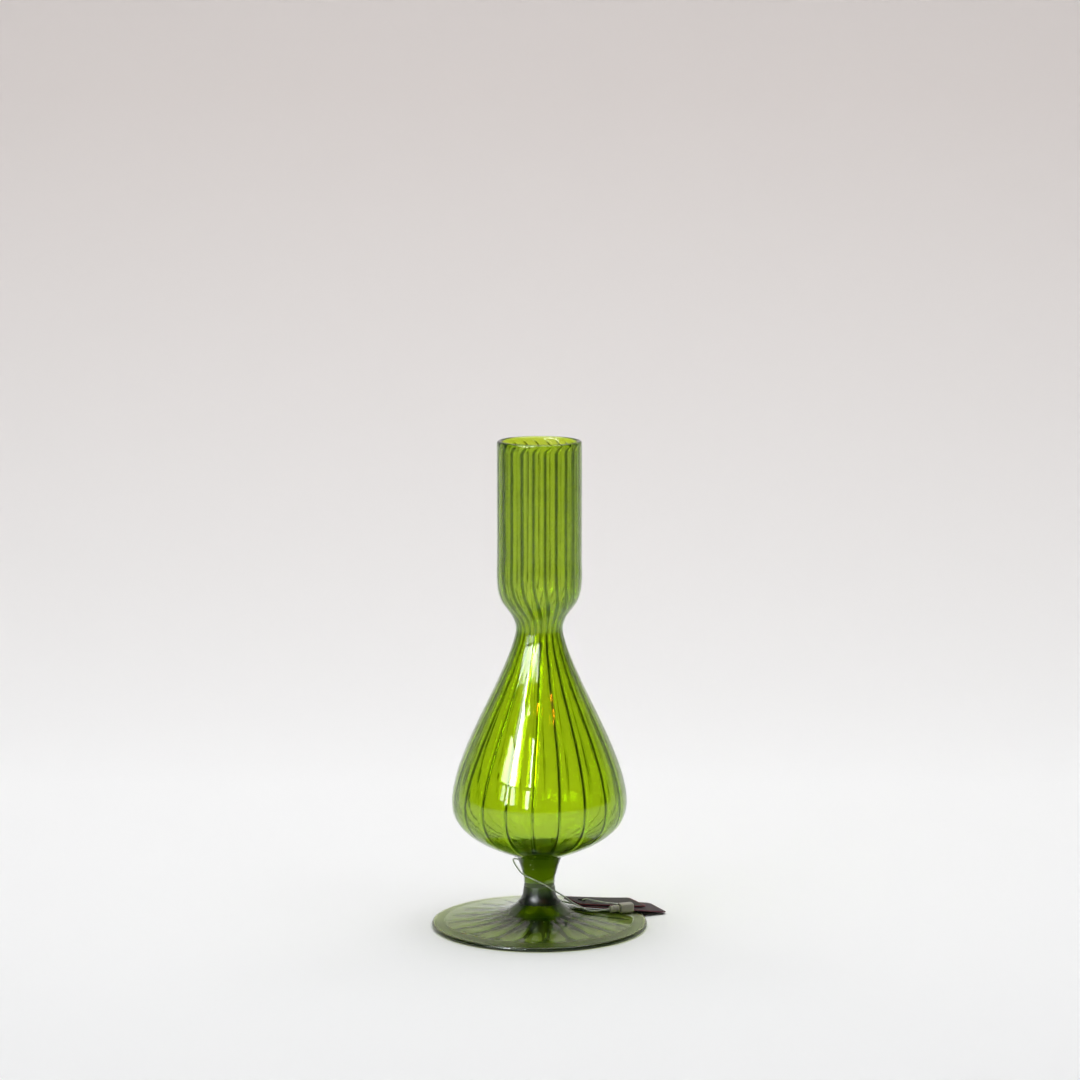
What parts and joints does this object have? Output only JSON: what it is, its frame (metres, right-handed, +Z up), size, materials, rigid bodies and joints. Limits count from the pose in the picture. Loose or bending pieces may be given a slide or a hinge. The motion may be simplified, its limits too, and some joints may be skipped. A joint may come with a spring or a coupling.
{
  "type": "bud vase",
  "caption": "Footed bud vase of ribbed green glass with a long belly, tight waist and slim cup, and two shop cards tied round its stem.",
  "frame": {"origin": "centre of the ring that the foot stands on, which is the bottom centre of the glass", "axes": "+Z up along the axis of the vase; the pictured side faces -Y, and the cards lie towards +X"},
  "size_m": [0.0764, 0.0698, 0.158],
  "materials": {
    "body_glass": "clear yellow-green, fire polished",
    "stem_glass": "clear, solid and so darker",
    "foot_glass": "clear, pressed ribs below",
    "nylon_thread": "smooth translucent",
    "lock_nylon": "moulded, satin",
    "dark_card": "coated card",
    "red_card": "coated card"
  },
  "bodies": {
    "vase": {"ribbed_body": "body_glass", "stem": "stem_glass", "ribbed_foot": "foot_glass"},
    "thread_loop": {"thread": "nylon_thread", "lock_block": "lock_nylon", "lock_plug": "lock_nylon"},
    "swing_card": {"swing_card": "dark_card"},
    "price_card": {"price_card": "red_card"}
  },
  "joints": [
    {"name": "thread_swivel", "type": "hinge", "parent": "vase", "child": "thread_loop", "pos_m": [0, 0, 0.015], "axis": [0, 0, 1], "continuous": true},
    {"name": "swing_card_turn", "type": "hinge", "parent": "thread_loop", "child": "swing_card", "pos_m": [0.01381, 0.00956, 0.00504], "axis": [0.145, 0.0615, 0.9875], "range_deg": [0, 15]},
    {"name": "price_card_turn", "type": "hinge", "parent": "thread_loop", "child": "price_card", "pos_m": [0.01381, 0.00956, 0.00569], "axis": [0.145, 0.0615, 0.9875], "range_deg": [-12, 12]}
  ]
}
